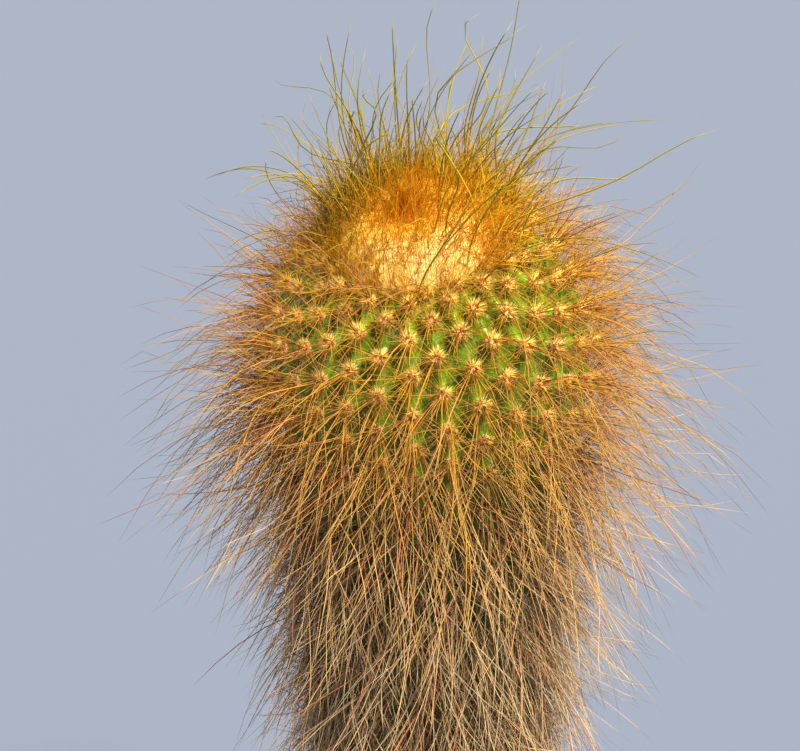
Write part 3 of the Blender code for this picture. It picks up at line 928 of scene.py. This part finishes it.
def add_crown_hairs(name, places, material, lengths, tint, radius, scatter, bends, points,
                    opening=(0.1, 1.7), sag=0.0, blunt=0.45):
    """Hairs rooted in the wool: upright in the middle, fanned out to its rim, and closed over it in front.

    bends are the usual bow and ripple as shares of the length. opening is the range of a hair's angle
    from the crown's axis, as shares of a spine's angle there. It is lowered towards the front. sag is
    how far the tip of a hair at the rim may sink, as a share of its length.
    """
    share, turn = places
    count = len(share)
    arc = share * WOOL_RIM
    root = wool_surface(turn, share, arc, wool_rise(np.minimum(share, 1.0)) * RNG.uniform(0.4, 0.95, count))
    inward = 1.1 * smooth_step(share * np.cos(turn - LEAN_HEADING), 0.1, 0.9)
    fan = fan_angle(arc) * (RNG.uniform(*opening, count) - inward) + RNG.normal(0.0, scatter, count)
    way = fan_way(turn + RNG.normal(0.0, 0.4, count), np.zeros(count), fan)
    length = lengths(share, turn)
    side = unit(np.cross(way, RNG.normal(size=(count, 3))))
    bow = side * (RNG.normal(0.0, bends[0], count) * length)[:, None]
    bow = bow - UP * (sag * share * RNG.uniform(0.0, 1.0, count) * length)[:, None]
    bow = bow + TO_LIGHT * (LIGHT_BOW * length)[:, None]
    ripple = unit(np.cross(way, side)) * (RNG.normal(0.0, bends[1], count) * length)[:, None]
    paths = bent_paths(root, way, length, bow, ripple, points)
    mesh = strand_mesh(name, paths, radius * RNG.uniform(0.7, 1.3, count), tint(share, turn), blunt)
    new_piece(name, mesh, material)


def make_wool_hairs():
    """The fleece on the mound: short fine hairs, golden to cream."""
    cream = strand_material(
        "wool_hairs",
        # golden to cream by tint; the cream on the sunny side is painted light, the gold at the back painted
        # shade
        shades((0.0, 255, 196, 34), (0.5, 255, 212, 64), (1.0, 255, 238, 148)),
        shades((0.0, 255, 194, 32), (0.5, 255, 208, 56), (1.0, 255, 234, 134)),
        0.6, through=0.65,
    )
    add_crown_hairs(
        "wool_hairs", crown_places(5000, 1.12, 0.9), cream, any_length(0.0024, 0.0062), tint_by_ring_and_light,
        radius=0.00005, scatter=0.20, bends=(0.18, 0.06), points=4,
    )


def make_golden_hairs():
    """The golden border of the wool, thick at the back and thin in front."""
    golden = strand_material(
        "golden_hairs",
        # brown at the low end for the back's painted shade, bright gold at the high end for painted light on
        # the lit side
        shades((0.0, 130, 108, 34), (0.4, 198, 148, 26), (0.7, 252, 188, 32), (1.0, 255, 204, 54)),
        shades((0.0, 124, 108, 36), (0.4, 184, 144, 28), (0.7, 242, 180, 30), (1.0, 252, 194, 44)),
        0.5, through=0.4,
    )
    add_crown_hairs(
        "golden_hairs", crown_places(1900, 1.14, 0.24, 0.42), golden, golden_length, tint_by_painted_light,
        radius=0.00010, scatter=0.24, bends=(0.26, 0.12), points=8,
    )


def make_tuft():
    """The golden tuft where the stem grows, densest at its middle."""
    gold = strand_material(
        "growing_tuft",
        shades((0.0, 252, 192, 34), (1.0, 255, 208, 58)),
        shades((0.0, 222, 154, 8), (1.0, 236, 170, 12)),
        0.5, change=(0.1, 0.8), through=0.6,
    )
    hairs = 520
    middle = (np.abs(RNG.normal(0.0, 0.26, hairs)), RNG.uniform(0.0, FULL_TURN, hairs))
    add_crown_hairs(
        "growing_tuft", middle, gold, any_length(0.0055, 0.0155), any_tint,
        radius=0.00009, scatter=0.30, bends=(0.16, 0.08), points=6,
    )


def make_young_spines():
    """The young spines that fan up round the crown, mostly behind it."""
    young = strand_material(
        "young_spines",
        # bright gold at the low end for painted light on the lit side, brown at the high end for painted
        # shade at the back
        shades((0.0, 255, 192, 30), (0.5, 230, 168, 22), (1.0, 130, 104, 34)),
        shades((0.0, 214, 186, 36), (0.5, 184, 162, 46), (1.0, 124, 110, 54)),
        0.4, through=0.20,
    )
    add_crown_hairs(
        "young_spines", crown_places(1050, 1.18, 0.12), young,
        mostly_short(0.010, 0.028, 1.2, 2.1), tint_by_shade,
        radius=0.00012, scatter=0.20, bends=(0.26, 0.11), points=8, sag=0.35, blunt=0.35,
    )


def make_wisps():
    """The crown's longest hairs: olive-gold wisps that stand far out round it, mostly at the back."""
    wisp = strand_material(
        "long_wisps",
        shades((0.0, 224, 168, 34), (1.0, 176, 126, 30)),
        shades((0.0, 176, 166, 46), (1.0, 138, 122, 46)),
        0.4, change=(0.05, 0.6), through=0.25,
    )
    add_crown_hairs(
        "long_wisps", crown_places(240, 1.25, 0.05, 0.3), wisp,
        mostly_short(0.022, 0.058, 1.0, 1.3), any_tint,
        radius=0.00022, scatter=0.16, bends=(0.18, 0.08), points=11,
        opening=(0.0, 2.3), sag=0.40, blunt=0.30,
    )


def make_amber_strands():
    """Curly amber strands that cross the front half of the wool."""
    amber = strand_material(
        "amber_strands",
        shades((0.0, 206, 122, 24), (1.0, 160, 76, 18)),
        shades((0.0, 212, 140, 36), (1.0, 176, 96, 24)),
        0.4, through=0.15,
    )
    share, turn = crown_places(130, 1.12, 1.0, 0.5)
    near = np.cos(turn - LEAN_HEADING) > 0.1
    add_crown_hairs(
        "amber_strands", (share[near], turn[near]), amber, any_length(0.009, 0.022), any_tint,
        radius=0.0001, scatter=0.35, bends=(0.40, 0.18), points=9, opening=(-0.6, 1.6),
    )


def rounded_corners(corners, steps=6):
    """A closed outline from (radius, height, size), each corner replaced by a curve that it pulls.

    The curve starts and ends at the corner's size from it, on the edges that meet there.
    """
    table = np.array(corners)
    corners, sizes = table[:, :2], table[:, 2, None, None]
    before = unit(np.roll(corners, 1, axis=0) - corners)[:, None]
    after = unit(np.roll(corners, -1, axis=0) - corners)[:, None]
    t = np.linspace(0.0, 1.0, steps)[None, :, None]
    here = corners[:, None]
    curve = (1 - t) ** 2 * (here + sizes * before) + 2 * t * (1 - t) * here + t**2 * (here + sizes * after)
    return curve.reshape(-1, 2)


def more_points(outline, longest):
    """A closed outline with points added so that no edge is longer than this."""
    ahead = np.roll(outline, -1, axis=0)
    cuts = np.maximum(1, np.ceil(np.linalg.norm(ahead - outline, axis=1) / longest)).astype(int)
    edge = np.repeat(np.arange(len(outline)), cuts)
    step = np.arange(len(edge)) - np.repeat(np.cumsum(cuts) - cuts, cuts)
    return outline[edge] + (ahead - outline)[edge] * (step / cuts[edge])[:, None]


def pot_bore(height):
    """The pot's inner radius: one straight slope from the floor, a wall's width inside the shoulder."""
    slope = (SHOULDER_RADIUS - FOOT_RADIUS) / (POT_HEIGHT - BAND_HEIGHT - POT_FLOOR)
    return FOOT_RADIUS - POT_WALL + slope * (height - POT_FLOOR)


def clay_material():
    """Fired clay: orange-brown clouds, pale lime bloom in patches, a damp foot and faint turned rings."""
    made, tree, shader = new_material("fired_clay", 0.82)
    place = object_place(tree)
    clouds, grain = worn(tree, place, 22.0, 0.45, 0.85)
    colour = mixed(tree, clouds, srgb(172, 92, 58), srgb(206, 128, 88))
    bloom, _ = worn(tree, place, 34.0, 0.72, 0.88)
    colour = mixed(tree, dimmed(tree, 0.5, bloom), colour, srgb(226, 196, 172))
    height = add_node(tree, "SeparateXYZ", {0: place}).outputs["Z"]
    damp = eased(tree, height, 0.030, 0.0)
    colour = mixed(tree, dimmed(tree, 0.6, damp), colour, srgb(122, 70, 46))
    inputs = {"Vector": place, "Scale": 60.0, "Distortion": 1.2, "Detail": 1.0, "Detail Scale": 0.6}
    rings = add_node(tree, "TexWave", inputs, bands_direction="Z").outputs["Color"]
    pitted = mixed(tree, 0.5, grain, noise(tree, place, 1300.0))
    relief_normal = bump(tree, mixed(tree, 0.3, pitted, rings), 0.35, 0.0005)
    fill(tree, shader, {"Base Color": colour, "Normal": relief_normal})
    return made


def make_pot():
    """The clay pot: its turned section with rounded lip and edges, closed round the drain hole."""
    band_foot = POT_HEIGHT - BAND_HEIGHT
    corners = [
        (pot_bore(POT_HEIGHT), POT_HEIGHT, 0.0018),
        (LIP_RADIUS, POT_HEIGHT, 0.0020),
        (BAND_FOOT_RADIUS, band_foot, 0.0012),
        (SHOULDER_RADIUS, band_foot, 0.0008),
        (FOOT_RADIUS, 0.0, 0.0020),
        (DRAIN_RADIUS, 0.0, 0.0008),
        (DRAIN_RADIUS, POT_FLOOR, 0.0008),
        (pot_bore(POT_FLOOR), POT_FLOOR, 0.0030),
    ]
    outline = more_points(rounded_corners(corners), 0.008)
    turn = spaced_turns(128)
    points = on_circle(outline[:, :1], outline[:, 1:], turn)
    rows, columns = len(outline), len(turn)
    row, column = np.meshgrid(np.arange(rows), np.arange(columns), indexing="ij")
    here, below, beside = row * columns, (row + 1) % rows * columns, (column + 1) % columns
    quads = np.stack([here + column, below + column, below + beside, here + beside], axis=-1)
    mesh = new_mesh("clay_pot", points.reshape(-1, 3), quads.reshape(-1, 4), np.empty((0, 3), int))
    pot = new_piece("clay_pot", mesh, clay_material())
    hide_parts("pot")


def soil_swell(x, y):
    """How far the soil's slow humps lift its top: waves crossed with others, and a finer wave."""
    humps = np.sin(SWELL_WAVE * x + 1.0) * np.cos(SWELL_WAVE * y)
    return SWELL * (humps + 0.5 * np.sin(2.4 * SWELL_WAVE * y + 2.0))


def soil_material():
    """Damp peaty earth: nearly black to warm brown in small clods."""
    made, tree, shader = new_material("gritty_soil", 0.95)
    place = object_place(tree)
    clods, grain = worn(tree, place, 260.0, 0.5, 0.85)
    colour = mixed(tree, clods, srgb(44, 32, 24), srgb(96, 76, 56))
    fill(tree, shader, {"Base Color": colour, "Normal": bump(tree, grain, 0.9, 0.0012)})
    return made


def make_soil():
    """The soil: turned from the stem's hole over the humped top to the pot's wall and its floor."""
    hole = NECK_RADIUS + GAP
    top = np.linspace(hole, pot_bore(SOIL_TOP) - SOIL_EDGE, 30)
    floor = POT_FLOOR + GAP
    low = SOIL_TOP - 0.006
    radius = np.concatenate([[0.002, hole, hole], top, [pot_bore(low) - GAP, pot_bore(floor) - GAP, 0.002]])
    height = np.concatenate([[low, low, low], np.full(30, SOIL_TOP), [SOIL_TOP - 0.003, floor, floor]])
    turn = spaced_turns(180)
    x, y = radius[:, None] * np.cos(turn), radius[:, None] * np.sin(turn)
    clods = np.sin(610.0 * x + 3.0 * np.sin(270.0 * y)) * np.sin(560.0 * y + 2.0 * np.sin(330.0 * x))
    on_top = np.where(height == SOIL_TOP, 1.0, 0.0)[:, None]
    humped = height[:, None] + on_top * (soil_swell(x, y) + CLOD_HEIGHT * clods)
    mesh = turned_mesh("soil_bed", np.stack([x, y, humped], axis=-1))
    soil = new_piece("soil_bed", mesh, soil_material())
    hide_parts("soil")


def grit_material():
    """Grit of mixed stone: each grain's own tone picks lava grey, pumice, brick or ochre."""
    made, tree, shader = new_material("grit", 0.9)
    greys = ((0.0, 70, 62, 56), (0.3, 112, 100, 88), (0.55, 168, 150, 126), (0.75, 206, 194, 172))
    warm = ((0.88, 150, 96, 68), (1.0, 188, 150, 98))
    stone = ramp(tree, mesh_value(tree, "tone"), shades(*greys, *warm))
    dust, grain = worn(tree, object_place(tree), 700.0, 0.4, 0.9)
    colour = mixed(tree, dimmed(tree, 0.4, dust), stone, srgb(92, 74, 58))
    fill(tree, shader, {"Base Color": colour, "Normal": bump(tree, grain, 0.5, 0.0004)})
    return made


def twenty_faces():
    """Twelve unit corners and twenty outward triangles of the regular solid that has them.

    The corners are (0, 1, golden ratio) with all signs and places turned round. A face is any three
    that are near one another.
    """
    golden = (1.0 + math.sqrt(5.0)) / 2.0
    one = np.array([[0, s, t * golden] for s in (-1, 1) for t in (-1, 1)], float)
    corners = unit(np.concatenate([one, one[:, [2, 0, 1]], one[:, [1, 2, 0]]]))
    near = np.linalg.norm(corners[:, None] - corners[None], axis=-1) < 1.2
    faces = np.array([
        (a, b, c) for a in range(12) for b in range(a + 1, 12) for c in range(b + 1, 12)
        if near[a, b] and near[b, c] and near[a, c]
    ])
    facing = np.linalg.det(corners[faces])
    return corners, np.where(facing[:, None] > 0, faces, faces[:, ::-1])


def make_grit():
    """Angular grains scattered evenly over the soil: twelve points each, pulled about at random."""
    inner, outer = NECK_RADIUS + 0.0016, pot_bore(SOIL_TOP) - 0.0026
    radius = np.sqrt(RNG.uniform(inner**2, outer**2, GRAINS))
    turn = RNG.uniform(0.0, FULL_TURN, GRAINS)
    size = 0.0004 + 0.0017 * RNG.beta(1.2, 3.0, GRAINS)
    x, y = radius * np.cos(turn), radius * np.sin(turn)
    centre = np.stack([x, y, SOIL_TOP + soil_swell(x, y) + size * RNG.uniform(-0.3, 0.5, GRAINS)], axis=-1)
    corners, faces = twenty_faces()
    stretch = RNG.uniform(0.7, 1.25, (GRAINS, 1, 3)) * RNG.uniform(0.8, 1.2, (GRAINS, 12, 1))
    vertices = centre[:, None] + size[:, None, None] * stretch * corners
    mesh = new_mesh("grit", vertices.reshape(-1, 3), np.empty((0, 4), int), copied(faces, GRAINS, 12))
    mesh.shade_flat()
    give_values(mesh, "tone", np.repeat(RNG.random(GRAINS), 12))
    new_piece("grit", mesh, grit_material())


def make_stage():
    """A wide plain floor, which the lights bring up to a pale blue-grey."""
    bpy.ops.mesh.primitive_plane_add(size=8.0, location=(0.0, 0.0, 0.0))
    floor = bpy.context.active_object
    floor.name = "floor"
    material, tree, shader = new_material("floor", 0.9)
    fill(tree, shader, {"Base Color": srgb(98, 107, 126)})
    floor.data.materials.append(material)


def sun(name, place, width, strength, colour):
    """A distant light that shines from this place towards the head. Its width in degrees softens shadows."""
    light = bpy.data.lights.new(name, "SUN")
    light.angle = math.radians(width)
    light.energy = strength
    light.color = colour
    lamp = bpy.data.objects.new(name, light)
    lamp.location = place
    lamp.rotation_euler = (Vector(HEAD_CENTRE) - lamp.location).to_track_quat("-Z", "Y").to_euler()
    bpy.context.scene.collection.objects.link(lamp)


def make_lights():
    """A warm key from the upper right, a weak broad fill from the left, and a pale sky."""
    sun("key", place=(0.64, -0.70, 1.66), width=6.0, strength=9.8, colour=(1.0, 0.93, 0.78))
    sun("fill", place=(-1.1, 0.2, 0.9), width=60.0, strength=1.1, colour=(0.96, 0.96, 1.0))
    world = bpy.data.worlds.new("sky")
    world.use_nodes = True
    bpy.context.scene.world = world
    sky = {"Color": (0.86, 0.90, 1.0, 1.0), "Strength": 0.38}
    fill(world.node_tree, world.node_tree.nodes["Background"], sky)


def make_camera():
    """The photo's view: above the head and close, with the head right of the middle."""
    back = np.array([0.0, -math.cos(ELEVATION), math.sin(ELEVATION)])
    up = np.array([0.0, math.sin(ELEVATION), math.cos(ELEVATION)])
    aim = HEAD_CENTRE - np.array([AIM_LEFT, 0.0, 0.0]) - up * AIM_DOWN
    lens = bpy.data.cameras.new("camera")
    lens.lens = lens.sensor_width * DISTANCE / FIELD
    lens.clip_start = 0.01
    camera = bpy.data.objects.new("camera", lens)
    camera.location = aim + back * DISTANCE
    camera.rotation_euler = Vector(-back).to_track_quat("-Z", "Y").to_euler()
    bpy.context.scene.collection.objects.link(camera)
    bpy.context.scene.camera = camera
    bpy.context.scene.view_settings.view_transform = "Standard"


make_camera()
make_lights()
make_stage()
make_skin()
make_areoles()
make_wool()
make_wool_hairs()
make_golden_hairs()
make_tuft()
make_young_spines()
make_wisps()
make_amber_strands()
make_pot()
make_soil()
make_grit()
